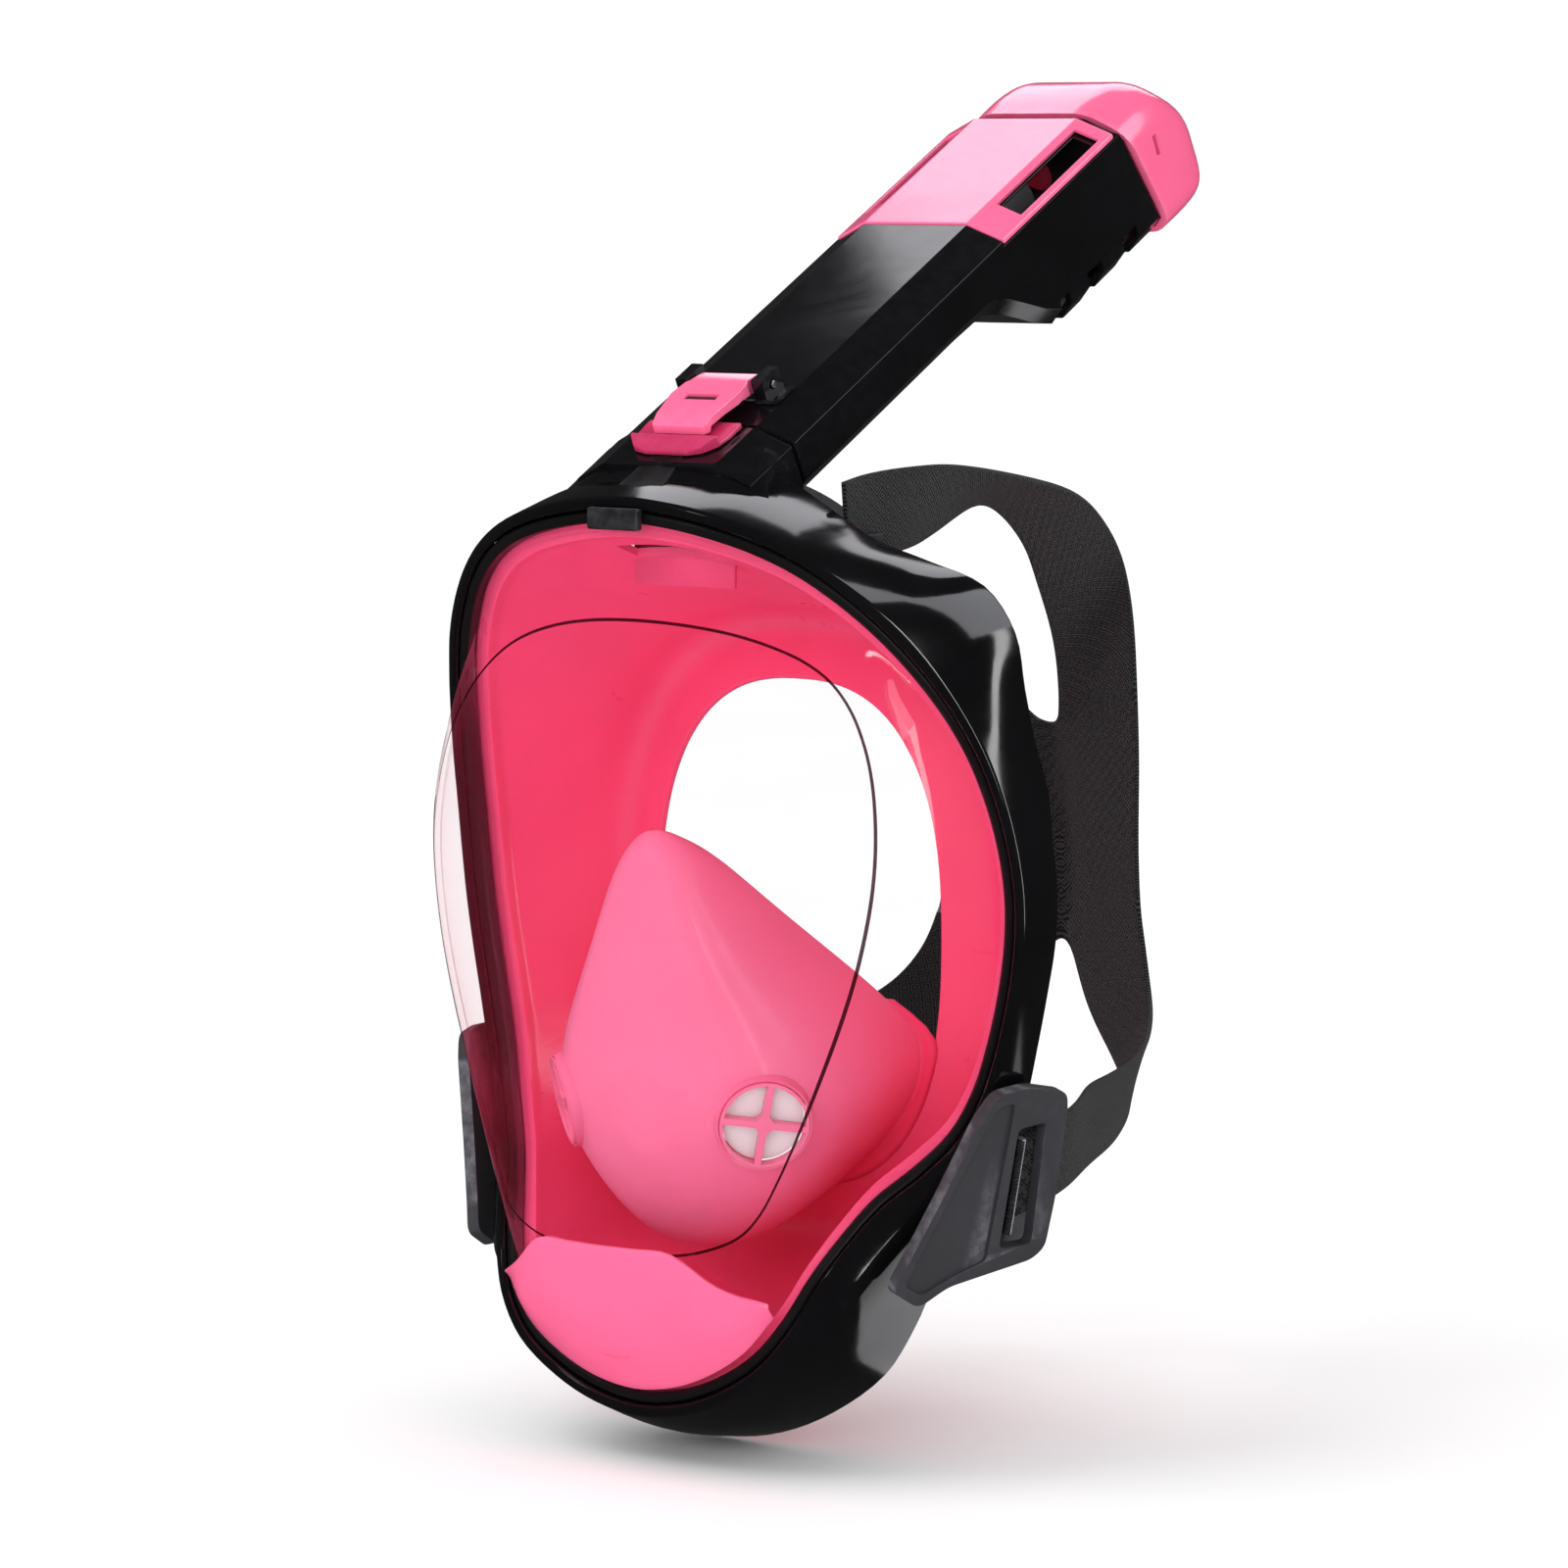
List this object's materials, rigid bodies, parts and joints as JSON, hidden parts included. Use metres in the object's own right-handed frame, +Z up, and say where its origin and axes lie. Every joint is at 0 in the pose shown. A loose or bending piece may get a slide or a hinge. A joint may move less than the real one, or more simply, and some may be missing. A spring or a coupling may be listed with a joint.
{
  "type": "full face snorkel",
  "caption": "Full face snorkel mask with a clear visor, soft face skirt, X shaped head strap and a folding dual channel tube with a float valve.",
  "frame": {"origin": "middle of the face opening, where a face seals against the skirt", "axes": "the mask looks along -Y, +X towards the wearer's left side, +Z up"},
  "size_m": [0.1994, 0.2697, 0.3817],
  "materials": {
    "clear": "clear moulded polycarbonate",
    "black_rubber": "satin",
    "gloss_black": "polished",
    "satin_black": "satin",
    "pink_silicone": "satin translucent silicone",
    "cup_silicone": "satin translucent silicone",
    "cup_plastic": "satin",
    "pink_plastic": "gloss",
    "crimson_plastic": "satin gloss",
    "membrane": "thin silicone membrane",
    "float_grey": "satin",
    "steel": "polished",
    "webbing": "woven elastic",
    "grey_plastic": "fine grain"
  },
  "bodies": {
    "mask": {"lens": "clear", "lens_seal": "black_rubber", "frame_shell": "gloss_black", "top_clip": "satin_black", "retainer_ring": "satin_black", "face_skirt": "pink_silicone", "nose_cup": "cup_silicone", "inhale_valve_seat_left": "cup_plastic", "inhale_valve_seat_right": "cup_plastic", "drain_valve_seat": "satin_black", "chin_cover": "pink_plastic", "snorkel_socket": "gloss_black", "snorkel_hinge_pin": "steel", "latch_catch": "crimson_plastic", "strap_lug_left": "satin_black", "strap_lug_right": "satin_black", "head_strap": "webbing", "buckle_left": "grey_plastic", "buckle_right": "grey_plastic", "buckle_bar_left": "steel", "buckle_bar_right": "steel"},
    "snorkel": {"snorkel_tube": "gloss_black", "socket_gasket": "black_rubber", "vent_collar": "pink_plastic", "top_cap": "pink_plastic", "float_seat_gasket": "black_rubber", "exhaust_valve_seat": "crimson_plastic", "latch_bracket": "satin_black", "latch_pin": "steel"},
    "latch": {"latch_lever": "pink_plastic"},
    "float": {"float_valve": "float_grey"},
    "inhale_left": {"inhale_flap_left": "membrane"},
    "inhale_right": {"inhale_flap_right": "membrane"},
    "drain": {"drain_flap": "membrane"},
    "exhaust": {"exhaust_flap": "membrane"}
  },
  "joints": [
    {"name": "snorkel_fold", "type": "hinge", "parent": "mask", "child": "snorkel", "pos_m": [0, -0.02694, 0.09659], "axis": [-1, 0, 0], "range_deg": [0, 22]},
    {"name": "latch_lever_swing", "type": "hinge", "parent": "snorkel", "child": "latch", "pos_m": [0, -0.0262, 0.13122], "axis": [-1, 0, 0], "range_deg": [0, 70]},
    {"name": "float_rise", "type": "slide", "parent": "snorkel", "child": "float", "axis": [0, 0.8878, 0.4602], "range_m": [0, 0.0125]},
    {"name": "inhale_left_lift", "type": "slide", "parent": "mask", "child": "inhale_left", "axis": [-0.6695, 0.7095, 0.2198], "range_m": [0, 0.0015], "stiffness_N_per_m": 60},
    {"name": "inhale_right_lift", "type": "slide", "parent": "mask", "child": "inhale_right", "axis": [0.6695, 0.7095, 0.2198], "range_m": [0, 0.0015], "stiffness_N_per_m": 60},
    {"name": "drain_lift", "type": "slide", "parent": "mask", "child": "drain", "axis": [0, -0.9404, -0.3401], "range_m": [0, 0.001], "stiffness_N_per_m": 60},
    {"name": "exhaust_lift", "type": "slide", "parent": "snorkel", "child": "exhaust", "axis": [0, 0.4602, -0.8878], "range_m": [0, 0.0018], "stiffness_N_per_m": 60}
  ]
}
